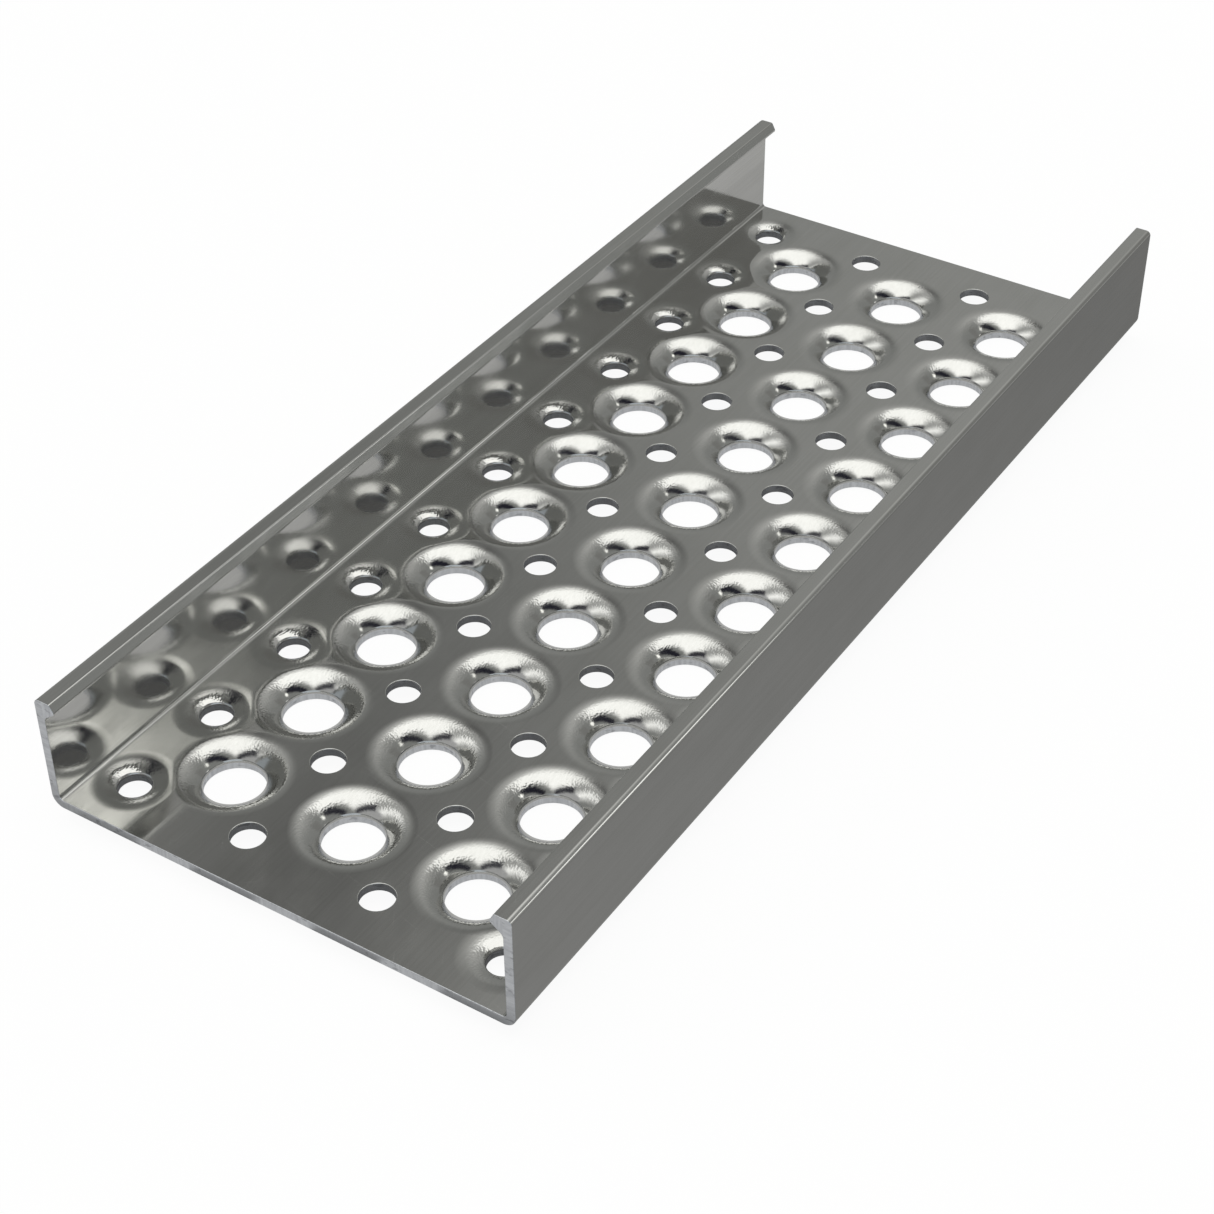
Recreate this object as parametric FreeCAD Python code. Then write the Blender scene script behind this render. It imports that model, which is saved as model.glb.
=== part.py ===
import FreeCAD, Part
import math
import os

# Perforated channel plank: one aluminium sheet, punched, debossed and folded.
# Millimetres. X runs along the plank, Y across it and Z up, with the open side
# of the channel facing up. The origin is the middle of the plane that the
# debossed bosses stand on.

# Sheet and channel
LENGTH = 452.0
WIDTH = 180.0
THICKNESS = 3.2
CHANNEL_HEIGHT = 44.4           # underside of the floor to the top of the lips
BEND_OUTER_R = 4.5              # fold between floor and flange, outside
BEND_INNER_R = 1.6              # the same fold, inside

# Lip along the top of each flange: distance in from the flange's outer face,
# distance down from the lip's top, corner radius
LIP_TOP_CORNER = (0.0, 0.0, 1.9)
LIP_END_TOP = (6.2, 0.0, 0.6)
LIP_END_TIP = (8.0, 3.4, 0.9)
LIP_ROOT = (3.2, 7.0, 2.5)

# Hole grid: small holes on the rows, large holes half way between two rows
ROWS = 11
PITCH = 41.3
INNER_COLUMNS = (-25.4, 25.4)   # plain small holes
SIDE_COLUMNS = (-72.6, 72.6)    # small holes in shallow dimples
LARGE_COLUMNS = (-48.3, 0.0, 48.3)
SMALL_HOLE_R = 5.9

# Debossed dimples. Around each hole the top surface bends down at outer_r over
# an arc, steepens on a wider arc, and rolls over into a wall that is cut
# straight down. The under surface is an arc and a cone.
LARGE_DIMPLE = {
    "hole_r": 10.4,
    "outer_r": 19.6,
    "bend_r": 9.5,              # first arc of the top surface
    "bend_slope": 27.0,         # where the second takes over, in degrees
    "draw_r": 18.0,             # second arc
    "rim_r": 1.7,               # roll-over into the wall
    "under_bend_r": 7.0,        # arc of the under surface
    "under_slope": 37.0,        # of its cone, in degrees
}
SIDE_DIMPLE = {
    "hole_r": 5.6,
    "outer_r": 12.0,
    "bend_r": 12.4,
    "bend_slope": 20.0,
    "draw_r": 16.0,
    "rim_r": 1.2,
    "under_bend_r": 9.2,
    "under_slope": 27.0,
}


def under_drop(shape):
    """How far a dimple's under surface has come down at its hole."""
    slope = math.radians(shape["under_slope"])
    bend_r = shape["under_bend_r"]
    cone_run = shape["outer_r"] - bend_r * math.sin(slope) - shape["hole_r"]
    return bend_r * (1.0 - math.cos(slope)) + cone_run * math.tan(slope)


# Heights above the plane of the boss rims
FLOOR_UNDER = under_drop(LARGE_DIMPLE)
FLOOR_TOP = FLOOR_UNDER + THICKNESS
LIP_TOP = FLOOR_UNDER + CHANNEL_HEIGHT


def rounded_outline(corners):
    """Closed outline in the YZ plane from (y, z, radius) corners, as a wire."""
    trimmed = []
    count = len(corners)
    for i in range(count):
        y, z, radius = corners[i]
        here = FreeCAD.Vector(0, y, z)
        before = FreeCAD.Vector(0, corners[i - 1][0], corners[i - 1][1]) - here
        after_corner = corners[(i + 1) % count]
        after = FreeCAD.Vector(0, after_corner[0], after_corner[1]) - here
        before.normalize()
        after.normalize()
        half_angle = before.getAngle(after) / 2.0
        setback = radius / math.tan(half_angle)
        middle = before + after
        middle.normalize()
        to_arc = radius / math.sin(half_angle) - radius
        trimmed.append((here + before * setback, here + middle * to_arc, here + after * setback))
    edges = []
    for i in range(count):
        start, on_arc, end = trimmed[i]
        edges.append(Part.Arc(start, on_arc, end).toShape())
        next_start = trimmed[(i + 1) % count][0]
        edges.append(Part.LineSegment(end, next_start).toShape())
    return Part.Wire(edges)


def channel():
    """The folded sheet without holes: floor, two flanges and their lips."""
    half = WIDTH / 2.0
    right = [(half, FLOOR_UNDER, BEND_OUTER_R)]
    for inward, down, radius in (LIP_TOP_CORNER, LIP_END_TOP, LIP_END_TIP, LIP_ROOT):
        right.append((half - inward, LIP_TOP - down, radius))
    right.append((half - THICKNESS, FLOOR_TOP, BEND_INNER_R))
    left = [(-y, z, radius) for y, z, radius in reversed(right)]
    section = Part.Face(rounded_outline(right + left))
    section.translate(FreeCAD.Vector(-LENGTH / 2.0, 0, 0))
    return section.extrude(FreeCAD.Vector(LENGTH, 0, 0))


def falling_arc(start, radius, slope_in, slope_out):
    """Arc in the XZ plane that leads inwards and down, and its far end."""
    def point_at(slope):
        r = start.x - radius * (math.sin(slope) - math.sin(slope_in))
        z = start.z - radius * (math.cos(slope_in) - math.cos(slope))
        return FreeCAD.Vector(r, 0, z)

    end = point_at(slope_out)
    middle = point_at((slope_in + slope_out) / 2.0)
    return Part.Arc(start, middle, end).toShape(), end


def dimple_top(shape):
    """Edges of a dimple's top surface, and the point where its wall begins."""
    draw_r, rim_r = shape["draw_r"], shape["rim_r"]
    bend_slope = math.radians(shape["bend_slope"])
    start = FreeCAD.Vector(shape["outer_r"], 0, FLOOR_TOP)
    bend, bend_end = falling_arc(start, shape["bend_r"], 0.0, bend_slope)
    # the roll-over starts at the slope that brings it upright at the hole
    reach = bend_end.x + draw_r * math.sin(bend_slope) - shape["hole_r"] - rim_r
    rim_slope = math.asin(reach / (draw_r - rim_r))
    draw, draw_end = falling_arc(bend_end, draw_r, bend_slope, rim_slope)
    rim, wall_top = falling_arc(draw_end, rim_r, rim_slope, math.pi / 2.0)
    return [bend, draw, rim], wall_top


def dimple_under(shape):
    """Edges of a dimple's under surface, and the point where its wall ends."""
    slope = math.radians(shape["under_slope"])
    start = FreeCAD.Vector(shape["outer_r"], 0, FLOOR_UNDER)
    bend, bend_end = falling_arc(start, shape["under_bend_r"], 0.0, slope)
    wall_end = FreeCAD.Vector(shape["hole_r"], 0, FLOOR_UNDER - under_drop(shape))
    cone = Part.LineSegment(bend_end, wall_end).toShape()
    return [bend, cone], wall_end


def dimple(shape):
    """Ring of sheet drawn down around a hole, centred on the Z axis."""
    outer_r = shape["outer_r"]
    top, wall_top = dimple_top(shape)
    under, wall_end = dimple_under(shape)
    wall = Part.LineSegment(wall_top, wall_end).toShape()
    outer_top = FreeCAD.Vector(outer_r, 0, FLOOR_TOP)
    outer_under = FreeCAD.Vector(outer_r, 0, FLOOR_UNDER)
    outside = Part.LineSegment(outer_top, outer_under).toShape()
    profile = Part.Face(Part.Wire(Part.__sortEdges__(top + under + [wall, outside])))
    return profile.revolve(FreeCAD.Vector(0, 0, 0), FreeCAD.Vector(0, 0, 1), 360)


def round_cutter(x, y, radius):
    """Cylinder through the floor."""
    base = FreeCAD.Vector(x, y, FLOOR_UNDER - THICKNESS)
    return Part.makeCylinder(radius, 3.0 * THICKNESS, base, FreeCAD.Vector(0, 0, 1))


def placed(shape, x, y):
    """Copy of a shape moved along the floor."""
    copy = shape.copy()
    copy.translate(FreeCAD.Vector(x, y, 0))
    return copy


def row_positions(rows):
    """Row positions along the plank, centred on the origin."""
    return [(i - (rows - 1) / 2.0) * PITCH for i in range(rows)]


def plank():
    """The whole part."""
    small_spots = [(x, y) for x in row_positions(ROWS) for y in INNER_COLUMNS]
    side_spots = [(x, y) for x in row_positions(ROWS) for y in SIDE_COLUMNS]
    large_spots = [(x, y) for x in row_positions(ROWS - 1) for y in LARGE_COLUMNS]

    cutters = [round_cutter(x, y, SMALL_HOLE_R) for x, y in small_spots]
    cutters += [round_cutter(x, y, SIDE_DIMPLE["outer_r"]) for x, y in side_spots]
    cutters += [round_cutter(x, y, LARGE_DIMPLE["outer_r"]) for x, y in large_spots]
    sheet = channel().cut(Part.makeCompound(cutters))

    large = dimple(LARGE_DIMPLE)
    side = dimple(SIDE_DIMPLE)
    rings = [placed(large, x, y) for x, y in large_spots]
    rings += [placed(side, x, y) for x, y in side_spots]
    return sheet.fuse(rings).Solids[0]


os.makedirs("parts", exist_ok=True)
plank().exportStep("parts/plank.step")
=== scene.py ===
import math

import bpy
import numpy as np
from mathutils import Matrix, Vector, geometry


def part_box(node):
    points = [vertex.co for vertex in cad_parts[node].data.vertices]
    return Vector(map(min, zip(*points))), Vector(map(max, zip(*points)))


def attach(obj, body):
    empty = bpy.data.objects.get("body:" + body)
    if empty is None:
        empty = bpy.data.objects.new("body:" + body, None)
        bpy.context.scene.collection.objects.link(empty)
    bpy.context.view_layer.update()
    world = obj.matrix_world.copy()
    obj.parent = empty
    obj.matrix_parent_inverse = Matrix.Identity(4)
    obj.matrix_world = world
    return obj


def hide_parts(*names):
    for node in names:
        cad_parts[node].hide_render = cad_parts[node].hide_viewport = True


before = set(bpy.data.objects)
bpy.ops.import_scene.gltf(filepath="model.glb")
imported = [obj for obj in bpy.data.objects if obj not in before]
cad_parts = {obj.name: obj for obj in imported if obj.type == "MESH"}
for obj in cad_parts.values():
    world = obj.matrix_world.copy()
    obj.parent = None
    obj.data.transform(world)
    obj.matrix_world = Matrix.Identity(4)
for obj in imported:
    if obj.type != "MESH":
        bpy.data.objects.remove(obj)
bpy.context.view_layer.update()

MM = 0.001

# The sheet. Its box comes from the frame, the rest are the design's own sizes.
LOW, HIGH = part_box("plank")
HALF_LENGTH = HIGH.x
HALF_WIDTH = HIGH.y
LIP_TOP = HIGH.z
THICKNESS = 3.2 * MM
FLOOR_TOP = LIP_TOP - 41.2 * MM
FLOOR_UNDER = FLOOR_TOP - THICKNESS
BEND_OUTER_R = 4.5 * MM
BEND_INNER_R = 1.6 * MM
CUT_EDGE_R = 0.28 * MM          # rounding of the sheared ends

# Corners of the flange and lip: in from the outer face, down from the top, radius
LIP_TOP_CORNER = (0.0, 0.0, 1.9 * MM)
LIP_END_TOP = (6.2 * MM, 0.0, 0.6 * MM)
LIP_END_TIP = (8.0 * MM, 3.4 * MM, 0.9 * MM)
LIP_ROOT = (THICKNESS, 7.0 * MM, 2.5 * MM)

# Hole grid
ROWS = 11
PITCH = 41.3 * MM
INNER_COLUMNS = (-25.4 * MM, 25.4 * MM)
SIDE_COLUMNS = (-72.6 * MM, 72.6 * MM)
LARGE_COLUMNS = (-48.3 * MM, 0.0, 48.3 * MM)

# One kind of hole: its radius and the rounding of its rim; for a dimple, where
# the sheet starts to bend down, the first arc of the top and the slope at which
# the second takes over, the arc and slope of the underside; the mesh density of
# those arcs; and the faint wide dip of the floor around it, its steepest slope
# and how far out it goes. Slopes are in degrees.
LARGE_HOLE = dict(
    hole_r=10.4 * MM, rim_r=1.7 * MM, outer_r=19.6 * MM,
    bend_r=9.5 * MM, bend_slope=27.0, draw_r=18.0 * MM,
    under_bend_r=7.0 * MM, under_slope=37.0,
    around=56, steps=(4, 4, 4, 3), skirt=(3.4, 1.6 * MM),
)
SIDE_HOLE = dict(
    hole_r=5.6 * MM, rim_r=1.2 * MM, outer_r=12.0 * MM,
    bend_r=12.4 * MM, bend_slope=20.0, draw_r=16.0 * MM,
    under_bend_r=9.2 * MM, under_slope=27.0,
    around=44, steps=(4, 2, 4, 3), skirt=(3.6, 3.2 * MM),
)
FLAT_HOLE = dict(
    hole_r=5.9 * MM, rim_r=0.3 * MM, outer_r=7.1 * MM,
    around=40, steps=(0, 0, 3, 0), skirt=(0.0, 0.0),
)
UNDER_EDGE_R = 0.3 * MM         # lower edge of every hole's wall

# Mesh density and joints: longest step along the flat floor and up a flange, steps
# of a sheared edge's rounding, how far the floor stops short of the folds, and how
# far the points of the faint dips keep from holes and edges
FLOOR_STEP = 4.0 * MM
FLANGE_STEP = 7.0 * MM
CUT_EDGE_STEPS = 3
SEAM_GAP = 0.15 * MM
DIP_CLEAR = 0.25 * MM

SHEET, CUT = 0, 1               # material slots of the mesh


# ---------------------------------------------------------------- profiles
def rounded_path(corners, arc_step=math.radians(15)):
    """Points and left-hand normals along a path whose corners are rounded.

    Corners are (u, v, radius). The first and last are plain end points. A
    millimetre radius is cut into steps of arc_step, and larger ones finer.
    """
    points = [Vector((u, v)) for u, v, _ in corners]
    first = (points[1] - points[0]).normalized()
    path = [(points[0], Vector((-first.y, first.x)))]
    for i in range(1, len(corners) - 1):
        radius = corners[i][2]
        before = (points[i] - points[i - 1]).normalized()
        after = (points[i + 1] - points[i]).normalized()
        turn = math.atan2(before.cross(after), before.dot(after))
        side = math.copysign(1.0, turn)
        start = points[i] - before * radius * math.tan(abs(turn) / 2)
        left = Vector((-before.y, before.x))
        centre = start + left * radius * side
        steps = max(2, math.ceil(abs(turn) * math.sqrt(radius / MM) / arc_step))
        for k in range(steps + 1):
            normal = Matrix.Rotation(turn * k / steps, 2) @ left
            path.append((centre - normal * radius * side, normal))
    last = (points[-1] - points[-2]).normalized()
    path.append((points[-1], Vector((-last.y, last.x))))
    return path


def subdivided(path, longest):
    """The same path with its long straight runs cut into equal pieces."""
    finer = [path[0]]
    for (a, _), (b, normal) in zip(path, path[1:]):
        pieces = max(1, math.ceil((b - a).length / longest))
        finer += [(a.lerp(b, k / pieces), normal) for k in range(1, pieces)]
        finer.append((b, normal))
    return finer


def falling_arc(start, radius, slope_in, slope_out, steps):
    """Points and upward normals of an arc that leads inwards and down."""
    curve = []
    for k in range(steps + 1):
        a = slope_in + (slope_out - slope_in) * k / steps
        across = radius * (math.sin(a) - math.sin(slope_in))
        down = radius * (math.cos(slope_in) - math.cos(a))
        curve.append((start - Vector((across, down)), Vector((-math.sin(a), math.cos(a)))))
    return curve


def dip_depth(kind):
    """How far the faint dip of the floor around a hole lowers the hole."""
    slope, width = kind["skirt"]
    return math.tan(math.radians(slope)) * width


def top_profile(kind):
    """Points and normals of a hole's top surface, down to its upright wall."""
    start = Vector((kind["outer_r"], FLOOR_TOP))
    rim_r = kind["rim_r"]
    bend_steps, draw_steps, rim_steps, _ = kind["steps"]
    if "bend_r" not in kind:
        rim_start = Vector((kind["hole_r"] + rim_r, FLOOR_TOP))
        return [(start, Vector((0, 1)))] + falling_arc(rim_start, rim_r, 0, math.pi / 2, rim_steps)
    bend_slope = math.radians(kind["bend_slope"])
    bend = falling_arc(start, kind["bend_r"], 0, bend_slope, bend_steps)
    draw_start = bend[-1][0]
    # the rim starts at the slope that brings it upright at the hole
    reach = draw_start.x + kind["draw_r"] * math.sin(bend_slope) - kind["hole_r"] - rim_r
    rim_slope = math.asin(reach / (kind["draw_r"] - rim_r))
    draw = falling_arc(draw_start, kind["draw_r"], bend_slope, rim_slope, draw_steps)
    rim = falling_arc(draw[-1][0], rim_r, rim_slope, math.pi / 2, rim_steps)
    return bend + draw[1:] + rim[1:]


def under_profile(kind):
    """Points and normals of a hole's underside up to its cone, and the wall's end."""
    start = Vector((kind["outer_r"], FLOOR_UNDER))
    if "bend_r" not in kind:
        return [(start, Vector((0, 1)))], FLOOR_UNDER
    slope = math.radians(kind["under_slope"])
    bend = falling_arc(start, kind["under_bend_r"], 0, slope, kind["steps"][3])
    cone = bend[-1][0]
    return bend, cone.y - (cone.x - kind["hole_r"]) * math.tan(slope)


def hole_profile(kind):
    """Radius-height path from the floor's top, down the hole, to its underside.

    Each entry is (point, normal, material slot of the band that follows it).
    """
    top = top_profile(kind)
    under, wall_end = under_profile(kind)
    # the faint dip of the floor lowers the whole hole later, so the wall stops short
    wall = rounded_path([
        (*top[-1][0], 0),
        (kind["hole_r"], wall_end + dip_depth(kind), UNDER_EDGE_R),
        (*under[-1][0], 0),
    ])
    path = [(p, n, SHEET) for p, n in top]
    path[-1] = (*top[-1], CUT)
    path += [(p, -n, CUT) for p, n in wall[1:-1]]
    path[-1] = (*path[-1][:2], SHEET)
    path += [(p, -n, SHEET) for p, n in reversed(under)]
    return path


def flange_profile():
    """Height path of one flange, from the floor's top round the lip to its underside."""
    half = HALF_WIDTH
    seam = half - THICKNESS - BEND_INNER_R - SEAM_GAP
    corners = [(seam, FLOOR_TOP, 0), (half - THICKNESS, FLOOR_TOP, BEND_INNER_R)]
    for inward, down, radius in (LIP_ROOT, LIP_END_TIP, LIP_END_TOP, LIP_TOP_CORNER):
        corners.append((half - inward, LIP_TOP - down, radius))
    corners += [(half, FLOOR_UNDER, BEND_OUTER_R), (seam, FLOOR_UNDER, 0)]
    return subdivided(rounded_path(corners), FLANGE_STEP)


# ---------------------------------------------------------------- the mesh
class Skin:
    """Vertices with their own normals, and faces with a material slot."""

    def __init__(self):
        self.points = []
        self.normals = []
        self.faces = []
        self.slots = []

    def vertex(self, point, normal):
        self.points.append(tuple(point))
        self.normals.append(tuple(normal))
        return len(self.points) - 1

    def face(self, corners, slot=SHEET):
        self.faces.append(tuple(corners))
        self.slots.append(slot)

    def band(self, one, two, slot=SHEET, closed=False):
        """Quads between two rows of as many vertices."""
        last = len(one) if closed else len(one) - 1
        for k in range(last):
            n = (k + 1) % len(one)
            self.face((one[k], one[n], two[n], two[k]), slot)


def circle(centre, radius, around):
    """Points of a level circle, anticlockwise from +X."""
    turns = [2 * math.pi * k / around for k in range(around)]
    x, y = centre
    return [Vector((x + radius * math.cos(a), y + radius * math.sin(a))) for a in turns]


def hole_spots():
    """Every hole as (x, y, kind)."""
    rows = [(i - (ROWS - 1) / 2) * PITCH for i in range(ROWS)]
    between = [x + PITCH / 2 for x in rows[:-1]]
    spots = [(x, y, FLAT_HOLE) for x in rows for y in INNER_COLUMNS]
    spots += [(x, y, SIDE_HOLE) for x in rows for y in SIDE_COLUMNS]
    spots += [(x, y, LARGE_HOLE) for x in between for y in LARGE_COLUMNS]
    return spots


def stations(low, high, longest):
    """Evenly spaced values from low to high."""
    count = math.ceil((high - low) / longest)
    return [low + (high - low) * k / count for k in range(count + 1)]


def skirt_points(spots, half_length, half_width):
    """Extra floor points over the faint dips, clear of the holes and the edges."""
    extra = []
    for x, y, kind in spots:
        _, width = kind["skirt"]
        for part in (0.5, 1.0) if width else ():
            extra += circle((x, y), kind["outer_r"] + width * part, kind["around"])
    return [
        p for p in extra
        if abs(p.x) < half_length - DIP_CLEAR and abs(p.y) < half_width - DIP_CLEAR
        and all((p - Vector((x, y))).length > kind["outer_r"] + DIP_CLEAR for x, y, kind in spots)
    ]


def dip_floor(skin, spots):
    """Press the faint wide dips into the finished skin and lean its normals.

    A dip's slope is a smooth bump about the circle where the sheet starts to
    bend down, and everything inside that circle comes down with it.
    """
    points = np.array(skin.points)
    normals = np.array(skin.normals)
    height, lean = np.zeros(len(points)), np.zeros((len(points), 2))
    for x, y, kind in spots:
        slope, width = kind["skirt"]
        if not width:
            continue
        away = points[:, :2] - (x, y)
        radius = np.maximum(np.linalg.norm(away, axis=1), 1e-9)
        u = np.clip((radius - kind["outer_r"]) / width, -1, 1)
        steepest = math.tan(math.radians(slope))
        height -= steepest * width * (0.5 - u / 2 - np.sin(math.pi * u) / (2 * math.pi))
        grade = steepest * (0.5 + 0.5 * np.cos(math.pi * u))
        lean += (grade / radius)[:, None] * away
    sheet_part = points[:, 2] < FLOOR_TOP + BEND_INNER_R
    level = np.abs(normals[:, 2]) * sheet_part
    points[:, 2] += height * sheet_part
    normals[:, :2] -= lean * (np.sign(normals[:, 2]) * level)[:, None]
    normals /= np.linalg.norm(normals, axis=1)[:, None]
    skin.points = [tuple(p) for p in points]
    skin.normals = [tuple(n) for n in normals]


def add_floor(skin, xs, ys, spots):
    """The flat floor between the holes, both sides.

    One flat triangulation serves the top and the underside. Its outline runs
    through the stations xs and ys, and its holes are the rings where the sheet
    starts to dip. Returns the outline's and the rings' vertices, top and under.
    """
    flat, rings = [], []
    outline = [Vector((x, ys[0])) for x in xs[:-1]] + [Vector((xs[-1], y)) for y in ys[:-1]]
    outline += [Vector((x, ys[-1])) for x in xs[:0:-1]] + [Vector((xs[0], y)) for y in ys[:0:-1]]
    loops = [outline] + [circle((x, y), kind["outer_r"], kind["around"]) for x, y, kind in spots]
    edges = []
    for loop in loops:
        start = len(flat)
        flat += loop
        ring = list(range(start, start + len(loop)))
        rings.append(ring)
        edges += list(zip(ring, ring[1:] + ring[:1]))
    flat += skirt_points(spots, xs[-1], ys[-1])
    made, _, triangles, sources, _, _ = geometry.delaunay_2d_cdt(flat, edges, [], 0, 1e-7)
    place = {}
    for new, olds in enumerate(sources):
        for old in olds:
            place[old] = new
    sides = []
    for height, up in ((FLOOR_TOP, 1), (FLOOR_UNDER, -1)):
        sides.append([skin.vertex((p.x, p.y, height), (0, 0, up)) for p in made])
    for corners in triangles:
        middle = sum((made[c] for c in corners), Vector((0, 0))) / 3
        if any((middle - Vector((x, y))).length < kind["outer_r"] for x, y, kind in spots):
            continue
        skin.face([sides[0][c] for c in corners])
        skin.face([sides[1][c] for c in reversed(corners)])
    return [[[side[place[i]] for i in ring] for ring in rings] for side in sides]


def add_hole(skin, x, y, kind, top_ring, under_ring):
    """One hole turned about its axis, between the floor's two rings."""
    profile = hole_profile(kind)
    around = len(top_ring)
    previous = top_ring
    for k, (point, normal, _) in enumerate(profile[1:], 1):
        if k == len(profile) - 1:
            ring = under_ring
        else:
            ring = []
            for i in range(around):
                a = 2 * math.pi * i / around
                c, s = math.cos(a), math.sin(a)
                ring.append(skin.vertex((x + point.x * c, y + point.x * s, point.y),
                                        (normal.x * c, normal.x * s, normal.y)))
        skin.band(previous, ring, profile[k - 1][2], closed=True)
        previous = ring


def build_sheet():
    """The whole sheet as one closed skin."""
    skin = Skin()
    spots = hole_spots()
    profile = flange_profile()
    seam = profile[0][0].x
    end = HALF_LENGTH - CUT_EDGE_R
    xs = stations(-end, end, FLOOR_STEP)
    ys = stations(-seam, seam, FLOOR_STEP)
    top_rings, under_rings = add_floor(skin, xs, ys, spots)
    for (x, y, kind), top_ring, under_ring in zip(spots, top_rings[1:], under_rings[1:]):
        add_hole(skin, x, y, kind, top_ring, under_ring)

    # rows along X of the floor's two long edges and columns across its two ends
    nx, ny = len(xs) - 1, len(ys) - 1

    def edge_rows(ring):
        right = ring[:nx + 1]
        far = ring[nx:nx + ny + 1]
        left = ring[nx + ny:2 * nx + ny + 1][::-1]
        near = (ring[2 * nx + ny:] + ring[:1])[::-1]
        return right, far, left, near

    top_right, top_far, top_left, top_near = edge_rows(top_rings[0])
    under_right, under_far, under_left, under_near = edge_rows(under_rings[0])

    # flanges: rows along X, from the floor's top edge to its underside edge
    flanges = {}
    for side, top_row, under_row in ((1, top_left, under_left), (-1, top_right, under_right)):
        rows = [top_row]
        for point, normal in profile[1:-1]:
            rows.append([skin.vertex((x, side * point.x, point.y), (0, side * normal.x, normal.y))
                         for x in xs])
        rows.append(under_row)
        for one, two in zip(rows, rows[1:]):
            if side > 0:
                skin.band(one, two)
            else:
                skin.band(two, one)
        flanges[side] = rows

    # ends: the section's outline, rounded over on to a flat cut face
    both_ends = ((1, -1, top_far, under_far), (-1, 0, top_near, under_near))
    for sign, index, top_row, under_row in both_ends:
        outline = top_row[:-1] + [row[index] for row in flanges[1]][:-1]
        outline += under_row[:0:-1] + [row[index] for row in flanges[-1]][:0:-1]
        previous = outline
        for k in range(1, CUT_EDGE_STEPS + 1):
            a = math.pi / 2 * k / CUT_EDGE_STEPS
            ring = []
            for v in outline:
                _, y, z = skin.points[v]
                _, normal_y, normal_z = skin.normals[v]
                out = end + CUT_EDGE_R * math.sin(a)
                inset = CUT_EDGE_R * (1 - math.cos(a))
                ring.append(skin.vertex(
                    (sign * out, y - normal_y * inset, z - normal_z * inset),
                    (sign * math.sin(a), normal_y * math.cos(a), normal_z * math.cos(a))))
            if sign > 0:
                skin.band(ring, previous, CUT, closed=True)
            else:
                skin.band(previous, ring, CUT, closed=True)
            previous = ring
        skin.face(previous[::-1] if sign > 0 else previous, CUT)
    dip_floor(skin, spots)
    return skin


def mesh_object(name, skin, materials):
    """Blender object from a skin, shaded with the skin's own normals."""
    mesh = bpy.data.meshes.new(name)
    mesh.from_pydata(skin.points, [], skin.faces)
    for material in materials:
        mesh.materials.append(material)
    mesh.polygons.foreach_set("material_index", skin.slots)
    mesh.polygons.foreach_set("use_smooth", [True] * len(skin.faces))
    mesh.validate()
    mesh.update()
    mesh.normals_split_custom_set_from_vertices([Vector(n).normalized() for n in skin.normals])
    piece = bpy.data.objects.new(name, mesh)
    bpy.context.collection.objects.link(piece)
    return piece


# ---------------------------------------------------------------- nodes
def node(tree, kind, operation, *values):
    """Shader node with its first inputs set to values or linked to sockets."""
    made = tree.nodes.new("ShaderNode" + kind)
    if operation:
        made.operation = operation
    for socket, value in zip(made.inputs, values):
        if isinstance(value, bpy.types.NodeSocket):
            tree.links.new(value, socket)
        else:
            socket.default_value = value
    return made


def ranged(tree, value, low, high, to_low, to_high):
    """A value mapped from one range on to another, held at its ends."""
    return node(tree, "MapRange", None, value, low, high, to_low, to_high).outputs[0]


def combined(tree, operation, *values):
    """Math node's output, over any number of values."""
    total = values[0]
    for value in values[1:]:
        total = node(tree, "Math", operation, total, value).outputs[0]
    return total


def texture(tree, size, turn=0.0, detail=2.0):
    """Noise from 0 to 1 with features of the given size in millimetres.

    Size is along X, Y and Z. The pattern is turned about Z by turn degrees.
    """
    place = tree.nodes.new("ShaderNodeTexCoord").outputs["Object"]
    mapping = tree.nodes.new("ShaderNodeMapping")
    mapping.vector_type = "TEXTURE"
    mapping.inputs["Rotation"].default_value = (0, 0, math.radians(turn))
    mapping.inputs["Scale"].default_value = tuple(length * MM for length in size)
    tree.links.new(place, mapping.inputs["Vector"])
    noise = tree.nodes.new("ShaderNodeTexNoise")
    noise.inputs["Scale"].default_value = 1.0
    noise.inputs["Detail"].default_value = detail
    tree.links.new(mapping.outputs[0], noise.inputs["Vector"])
    return noise.outputs[0]


# ---------------------------------------------------------------- materials
def metal(name, dark, light, tone, roughness, relief):
    """Metal whose colour runs from dark to light with tone. Relief is in millimetres."""
    material = bpy.data.materials.new(name)
    material.use_nodes = True
    tree = material.node_tree
    shader = tree.nodes["Principled BSDF"]
    shader.inputs["Metallic"].default_value = 1.0
    colour = tree.nodes.new("ShaderNodeMix")
    colour.data_type = "RGBA"
    colour.inputs[6].default_value = (*dark, 1)
    colour.inputs[7].default_value = (*light, 1)
    bump = tree.nodes.new("ShaderNodeBump")
    bump.inputs["Distance"].default_value = MM
    tree.links.new(tone(tree), colour.inputs["Factor"])
    tree.links.new(colour.outputs[2], shader.inputs["Base Color"])
    tree.links.new(roughness(tree), shader.inputs["Roughness"])
    tree.links.new(relief(tree), bump.inputs["Height"])
    tree.links.new(bump.outputs[0], shader.inputs["Normal"])
    return material


# Sizes of the noises are millimetres along X, Y and Z. Most noise lies between
# 0.3 and 0.7, and the smoother smudges between 0.35 and 0.65.
NOISE_LOW, NOISE_HIGH = 0.3, 0.7
SMUDGE_LOW, SMUDGE_HIGH = 0.35, 0.65

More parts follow.
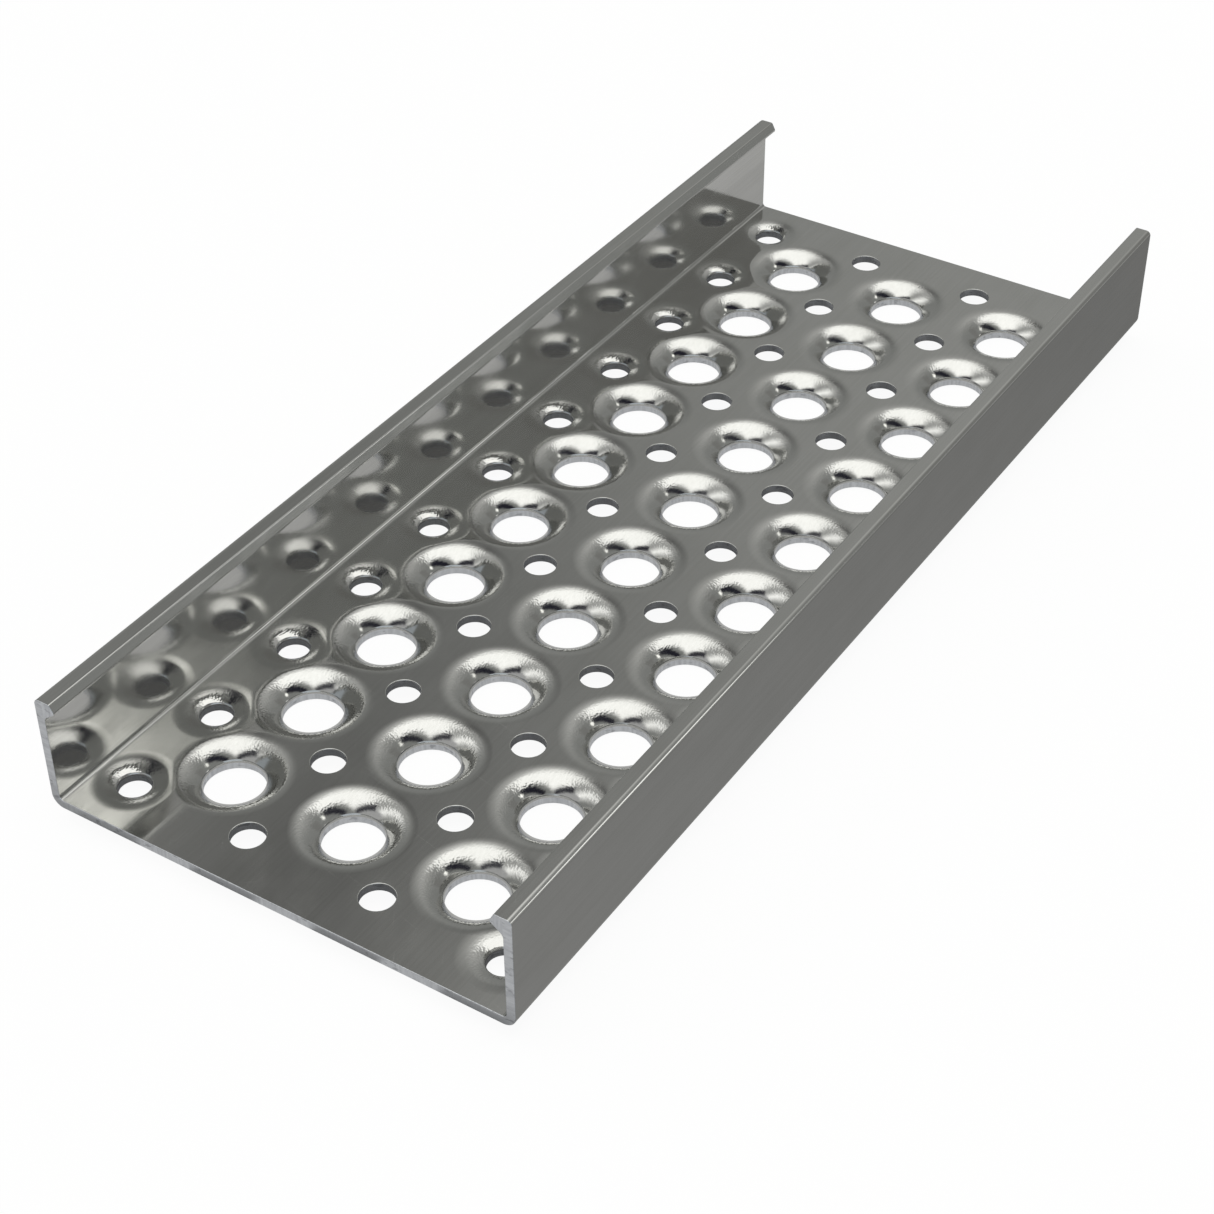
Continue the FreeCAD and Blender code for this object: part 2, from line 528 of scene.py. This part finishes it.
# Rolled surface: sizes, the turn of each scratch noise in degrees, and the noise
# above which it marks the metal
ROLLING_LINES = (70, 0.8, 0.8)
FINE_LINES = (6, 0.3, 0.3)
SMUDGES = (26, 15, 15)
SMUDGE_TURN = 20
SCRATCHES = (((16, 0.22, 0.22), 31), ((11, 0.2, 0.2), -47), ((24, 0.25, 0.25), 78))
SCRATCH_FROM, SCRATCH_FULL = 0.84, 0.88

# What they add to the tone (0 dark, 1 light), to the roughness and to the relief
LINES_TONE, SMUDGE_TONE, SCRATCH_TONE = 0.45, 0.35, 0.25
CLEAN_ROUGHNESS, SMUDGED_ROUGHNESS = 0.06, 0.12
LINES_ROUGHNESS, SCRATCH_ROUGHNESS = 0.03, 0.12
ROLLING_DEPTH, FINE_DEPTH = 0.0025, 0.001

# Orange peel of the drawn metal: its grain and depth, the depths below the floor's
# top over which it appears, and those over which the punch has smoothed it again
SKIN_GRAIN = (0.7, 0.7, 0.7)
PEEL_DEPTH = 0.06
BENT_FROM, BENT_BY = 0.1 * MM, 0.5 * MM
SMOOTHED_FROM, SMOOTHED_BY = 1.5 * MM, 2.6 * MM
SMOOTHED_LEFT = 0.12

# Sheared faces: streaks through the floor's and through the flanges' thickness,
# dull chips, torn grain, and how dark, rough and deep they go
UPRIGHT_STREAKS = (1.1, 1.1, 7)
LEVEL_STREAKS = (1.1, 7, 1.1)
CHIPS = (3.5, 3.5, 1.4)
CHIP_FULL, CHIP_NONE = 0.3, 0.4
TORN_GRAIN = (0.7, 0.7, 0.7)
STREAK_TONE, CHIP_TONE = 0.6, 0.25
CUT_ROUGH, CUT_SMOOTH = 0.46, 0.28
CUT_DEPTH = 0.015


def scratches(tree):
    """Sparse thin marks, 1 on a scratch."""
    marks = []
    for size, turn in SCRATCHES:
        noise = texture(tree, size, turn, detail=0)
        marks.append(ranged(tree, noise, SCRATCH_FROM, SCRATCH_FULL, 0.0, 1.0))
    return combined(tree, "MAXIMUM", *marks)


def sheet_tone(tree):
    """Rolling lines and smudges, lighter on the scratches."""
    lines = ranged(tree, texture(tree, ROLLING_LINES), NOISE_LOW, NOISE_HIGH, 0.0, LINES_TONE)
    smudge = ranged(tree, texture(tree, SMUDGES), SMUDGE_LOW, SMUDGE_HIGH, 0.0, SMUDGE_TONE)
    marks = combined(tree, "MULTIPLY", scratches(tree), SCRATCH_TONE)
    return combined(tree, "ADD", lines, smudge, marks)


def sheet_roughness(tree):
    """Bright rolled metal, duller where it has been handled or scratched."""
    smudge = ranged(tree, texture(tree, SMUDGES, SMUDGE_TURN), SMUDGE_LOW, SMUDGE_HIGH,
                    CLEAN_ROUGHNESS, SMUDGED_ROUGHNESS)
    lines = ranged(tree, texture(tree, FINE_LINES), NOISE_LOW, NOISE_HIGH, 0.0, LINES_ROUGHNESS)
    marks = combined(tree, "MULTIPLY", scratches(tree), SCRATCH_ROUGHNESS)
    return combined(tree, "ADD", smudge, lines, marks)


def sheet_relief(tree):
    """Rolling lines on the flat metal and orange peel where it has been drawn."""
    lines = ranged(tree, texture(tree, ROLLING_LINES), 0.0, 1.0, 0.0, ROLLING_DEPTH)
    fine = ranged(tree, texture(tree, FINE_LINES), 0.0, 1.0, 0.0, FINE_DEPTH)
    place = tree.nodes.new("ShaderNodeTexCoord").outputs["Object"]
    height = node(tree, "SeparateXYZ", None, place).outputs["Z"]
    bent = ranged(tree, height, FLOOR_TOP - BENT_FROM, FLOOR_TOP - BENT_BY, 0.0, PEEL_DEPTH)
    smoothed = ranged(tree, height, FLOOR_TOP - SMOOTHED_FROM, FLOOR_TOP - SMOOTHED_BY,
                      1.0, SMOOTHED_LEFT)
    peel = combined(tree, "MULTIPLY", texture(tree, SKIN_GRAIN, detail=0), bent, smoothed)
    return combined(tree, "ADD", lines, fine, peel)


def shear_streaks(tree):
    """Streaks through the thickness: upright on the floor, level on the flanges."""
    place = tree.nodes.new("ShaderNodeTexCoord").outputs["Object"]
    side = node(tree, "SeparateXYZ", None, place).outputs["Y"]
    side = node(tree, "Math", "ABSOLUTE", side).outputs[0]
    on_flange = node(tree, "Math", "GREATER_THAN", side, HALF_WIDTH - THICKNESS).outputs[0]
    streaks = tree.nodes.new("ShaderNodeMix")
    tree.links.new(on_flange, streaks.inputs["Factor"])
    tree.links.new(texture(tree, UPRIGHT_STREAKS), streaks.inputs[2])
    tree.links.new(texture(tree, LEVEL_STREAKS), streaks.inputs[3])
    return streaks.outputs[0]


def cut_tone(tree):
    """Bright streaks, with a few dull chips of several millimetres."""
    streaks = ranged(tree, shear_streaks(tree), NOISE_LOW, NOISE_HIGH, STREAK_TONE, 1.0)
    chips = ranged(tree, texture(tree, CHIPS), CHIP_FULL, CHIP_NONE, CHIP_TONE, 1.0)
    return combined(tree, "MULTIPLY", streaks, chips)


def cut_roughness(tree):
    """Brighter streaks are the smoother ones."""
    return ranged(tree, shear_streaks(tree), NOISE_LOW, NOISE_HIGH, CUT_ROUGH, CUT_SMOOTH)


def cut_relief(tree):
    """The streaks again, over torn metal."""
    streaks = ranged(tree, shear_streaks(tree), 0.0, 1.0, 0.0, CUT_DEPTH)
    torn = ranged(tree, texture(tree, TORN_GRAIN), 0.0, 1.0, 0.0, CUT_DEPTH)
    return combined(tree, "ADD", streaks, torn)


SHEET_COLOURS = ((0.59, 0.59, 0.575), (0.66, 0.66, 0.65))
CUT_COLOURS = ((0.42, 0.43, 0.46), (0.80, 0.82, 0.86))
sheet_metal = metal("rolled_aluminium", *SHEET_COLOURS, sheet_tone, sheet_roughness, sheet_relief)
cut_metal = metal("sheared_aluminium", *CUT_COLOURS, cut_tone, cut_roughness, cut_relief)

plank = mesh_object("plank_sheet", build_sheet(), (sheet_metal, cut_metal))
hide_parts("plank")
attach(plank, "root")


# ---------------------------------------------------------------- floor, light
FLOOR_SIZE = 12.0
FLOOR_GAP = 0.05 * MM           # between the floor and the plank's lowest point
BACKDROP = (1.04, 1.04, 1.04)
FLOOR_PAINT = (0.9, 0.9, 0.9)
FLOOR_TINT = (1.0, 1.0, 0.98)   # of the floor's painted glow in reflections
PAINT_SHARE = 0.1               # of the floor that takes light and shadow when seen

# The studio, painted over its grey walls in this order. Each panel is a soft
# rectangle in one direction: azimuth and elevation, turn, half width and half
# height as sines, softness of its edges, and its brightness. Azimuth 0 is
# towards -Y.
STUDIO_GREY = (0.275, 0.28, 0.27)
PANELS = (
    # the rear softbox, and the bright wall below it
    (-170, 75, 10, 0.55, 0.25, 0.20, (1.40, 1.40, 1.35)),
    (-155, 40, 0, 0.55, 0.08, 0.20, (1.75, 1.75, 1.70)),
    # grey screens on the far side
    (95, 45, -15, 0.25, 0.25, 0.35, (0.55, 0.55, 0.53)),
    (60, 20, -25, 0.15, 0.25, 0.05, (0.25, 0.25, 0.24)),
    # a white board on the camera's side, under the rim of the softbox
    (-50, 20, 0, 0.45, 0.40, 0.05, (0.60, 0.65, 0.70)),
    (5, 55, 0, 0.40, 0.10, 0.05, (0.02, 0.02, 0.03)),
    # a low bright strip that edges the lips and the fold, and a small lamp above it
    (40, 16, 0, 0.08, 0.13, 0.02, (1.50, 1.50, 1.45)),
    (40, 42, 0, 0.05, 0.05, 0.03, (1.80, 1.80, 1.70)),
    # a grey screen on the near side, with dark gaps above and behind
    (-110, 40, 25, 0.50, 0.25, 0.05, (0.50, 0.50, 0.50)),
    (140, 50, 45, 0.25, 0.10, 0.20, (0.02, 0.02, 0.02)),
    (-100, 55, 0, 0.35, 0.10, 0.05, (0.04, 0.04, 0.05)),
    # the overhead softbox
    (30, 85, 50, 0.30, 0.50, 0.10, (1.50, 1.50, 1.45)),
)

# Painted light and shade: how brightly the floor glows in the metal, beside the sheet
# at its near and far end, as painted shadow under the sheet, as painted light under its
# large holes and off its two ends, and far away
FLOOR_BESIDE = (0.28, 0.21)
FLOOR_PAINTED_SHADOW = 0.1
FLOOR_PAINTED_HOLE_LIGHT = 0.5
FLOOR_PAINTED_END_LIGHT = (0.52, 0.45)
FLOOR_FAR = 0.5
FLOOR_BLEND = 12 * MM           # width of the edges between those places
HOLE_BLEND = 2 * MM             # and of the painted bright bands under the large holes
FAR_FROM, FAR_TO = 350 * MM, 800 * MM


def painted_floor_light(tree):
    """Painted light: brightness of the floor's glow in reflections, from its place beside the
    sheet, with painted shadow under it.
    """
    place = tree.nodes.new("ShaderNodeTexCoord").outputs["Object"]
    parts = node(tree, "SeparateXYZ", None, place)
    along = parts.outputs["X"]
    across = node(tree, "Math", "ABSOLUTE", parts.outputs["Y"]).outputs[0]
    away = node(tree, "VectorMath", "LENGTH", place).outputs["Value"]
    beside = ranged(tree, along, -HALF_LENGTH, HALF_LENGTH, *FLOOR_BESIDE)
    outside = ranged(tree, across, HALF_WIDTH - FLOOR_BLEND, HALF_WIDTH, 0.0, 1.0)
    columns = node(tree, "Math", "PINGPONG", across, LARGE_COLUMNS[2] / 2).outputs[0]
    hole = LARGE_HOLE["hole_r"]
    # painted shadow under the sheet, with painted light in bands under its large holes
    under = ranged(tree, columns, hole, hole + HOLE_BLEND, FLOOR_PAINTED_HOLE_LIGHT, FLOOR_PAINTED_SHADOW)
    # painted light on the floor off the far end
    other_end = ranged(tree, along, HALF_LENGTH, HALF_LENGTH + FLOOR_BLEND, 0.0, FLOOR_PAINTED_END_LIGHT[1])
    inside = combined(tree, "MAXIMUM", under, other_end)
    near = node(tree, "MapRange", None, outside, 0.0, 1.0, inside, beside).outputs[0]
    # painted light on the floor off the near end
    one_end = ranged(tree, along, -HALF_LENGTH - FLOOR_BLEND, -HALF_LENGTH, FLOOR_PAINTED_END_LIGHT[0], 0.0)
    far = ranged(tree, away, FAR_FROM, FAR_TO, 0.0, FLOOR_FAR)
    return combined(tree, "MAXIMUM", near, one_end, far)


def studio_floor():
    """A pale floor: white to look at; in reflections it glows grey, with painted shadow under the
    sheet and painted light under its large holes and off its ends.
    """
    bpy.ops.mesh.primitive_plane_add(size=FLOOR_SIZE, location=(0, 0, LOW.z - FLOOR_GAP))
    floor = bpy.context.object
    floor.name = "studio_floor"
    paint = bpy.data.materials.new("studio_floor")
    paint.use_nodes = True
    tree = paint.node_tree
    tree.nodes.clear()
    output = tree.nodes.new("ShaderNodeOutputMaterial")
    rays = tree.nodes.new("ShaderNodeLightPath")
    glow = tree.nodes.new("ShaderNodeEmission")
    glow.inputs["Color"].default_value = (*BACKDROP, 1)
    pale = tree.nodes.new("ShaderNodeBsdfDiffuse")
    pale.inputs["Color"].default_value = (*FLOOR_PAINT, 1)
    seen = tree.nodes.new("ShaderNodeMixShader")
    seen.inputs["Fac"].default_value = PAINT_SHARE
    # the floor's glow in reflections, its painted light and shade set by place
    reflected_floor_paint = tree.nodes.new("ShaderNodeEmission")
    reflected_floor_paint.inputs["Color"].default_value = (*FLOOR_TINT, 1)
    either = tree.nodes.new("ShaderNodeMixShader")
    tree.links.new(painted_floor_light(tree), reflected_floor_paint.inputs["Strength"])
    tree.links.new(glow.outputs[0], seen.inputs[1])
    tree.links.new(pale.outputs[0], seen.inputs[2])
    tree.links.new(rays.outputs["Is Camera Ray"], either.inputs["Fac"])
    tree.links.new(reflected_floor_paint.outputs[0], either.inputs[1])
    tree.links.new(seen.outputs[0], either.inputs[2])
    tree.links.new(either.outputs[0], output.inputs["Surface"])
    floor.data.materials.append(paint)


def towards(azimuth, elevation):
    """Unit vector for a direction in degrees. Azimuth 0 is -Y and 90 is +X."""
    a, e = math.radians(azimuth), math.radians(elevation)
    return Vector((math.sin(a) * math.cos(e), -math.cos(a) * math.cos(e), math.sin(e)))


def panel_mask(tree, direction, azimuth, elevation, turn, half_width, half_height, softness):
    """How much one panel covers a direction, from 0 to 1."""
    centre = towards(azimuth, elevation)
    across = towards(azimuth + 90, 0)
    up = centre.cross(across)
    turned = Matrix.Rotation(math.radians(turn), 3, centre)
    covers = []
    for axis, half in ((turned @ across, half_width), (turned @ up, half_height)):
        off = node(tree, "VectorMath", "DOT_PRODUCT", direction, axis).outputs["Value"]
        off = node(tree, "Math", "ABSOLUTE", off).outputs[0]
        edge = node(tree, "MapRange", None, off)
        edge.interpolation_type = "SMOOTHSTEP"
        edge.inputs["From Min"].default_value = half - softness
        edge.inputs["From Max"].default_value = half + softness
        edge.inputs["To Min"].default_value = 1
        edge.inputs["To Max"].default_value = 0
        covers.append(edge.outputs[0])
    ahead = node(tree, "VectorMath", "DOT_PRODUCT", direction, centre).outputs["Value"]
    covers.append(node(tree, "Math", "GREATER_THAN", ahead, 0).outputs[0])
    both = node(tree, "Math", "MULTIPLY", covers[0], covers[1]).outputs[0]
    return node(tree, "Math", "MULTIPLY", both, covers[2]).outputs[0]


def studio_light():
    """Soft light from large panels all round, on a pale backdrop."""
    world = bpy.data.worlds.new("studio")
    bpy.context.scene.world = world
    world.use_nodes = True
    tree = world.node_tree
    tree.nodes.clear()
    direction = tree.nodes.new("ShaderNodeTexCoord").outputs["Generated"]
    base = tree.nodes.new("ShaderNodeRGB")
    base.outputs[0].default_value = (*STUDIO_GREY, 1)
    colour = base.outputs[0]
    for *shape, light in PANELS:
        mix = tree.nodes.new("ShaderNodeMix")
        mix.data_type = "RGBA"
        mix.inputs[7].default_value = (*light, 1)
        tree.links.new(panel_mask(tree, direction, *shape), mix.inputs["Factor"])
        tree.links.new(colour, mix.inputs[6])
        colour = mix.outputs[2]
    rays = tree.nodes.new("ShaderNodeLightPath")
    seen = tree.nodes.new("ShaderNodeMix")
    seen.data_type = "RGBA"
    seen.inputs[7].default_value = (*BACKDROP, 1)
    tree.links.new(rays.outputs["Is Camera Ray"], seen.inputs["Factor"])
    tree.links.new(colour, seen.inputs[6])
    background = tree.nodes.new("ShaderNodeBackground")
    output = tree.nodes.new("ShaderNodeOutputWorld")
    tree.links.new(seen.outputs[2], background.inputs["Color"])
    tree.links.new(background.outputs[0], output.inputs["Surface"])


studio_floor()
studio_light()
bpy.context.scene.view_settings.view_transform = "Standard"

# ---------------------------------------------------------------- camera
VIEW_AZIMUTH = -57.058          # degrees round from looking along +Y
VIEW_ELEVATION = 38.582
VIEW_ROLL = -0.417
VIEW_DISTANCE = 871.65 * MM
VIEW_TARGET = Vector((-49.0 * MM, -8.0 * MM, FLOOR_TOP))
LENS, SENSOR = 73.65, 36.0      # millimetres
CLIP_START = 0.01


def make_camera():
    """Camera at the chosen angle, looking at the target."""
    back = towards(VIEW_AZIMUTH, VIEW_ELEVATION)
    data = bpy.data.cameras.new("camera")
    data.lens = LENS
    data.sensor_width = SENSOR
    data.clip_start = CLIP_START
    camera = bpy.data.objects.new("camera", data)
    camera.location = VIEW_TARGET + back * VIEW_DISTANCE
    turn = (-back).to_track_quat("-Z", "Y").to_matrix()
    roll = Matrix.Rotation(math.radians(VIEW_ROLL), 3, "Z")
    camera.rotation_euler = (turn @ roll).to_euler()
    bpy.context.collection.objects.link(camera)
    bpy.context.scene.camera = camera


make_camera()
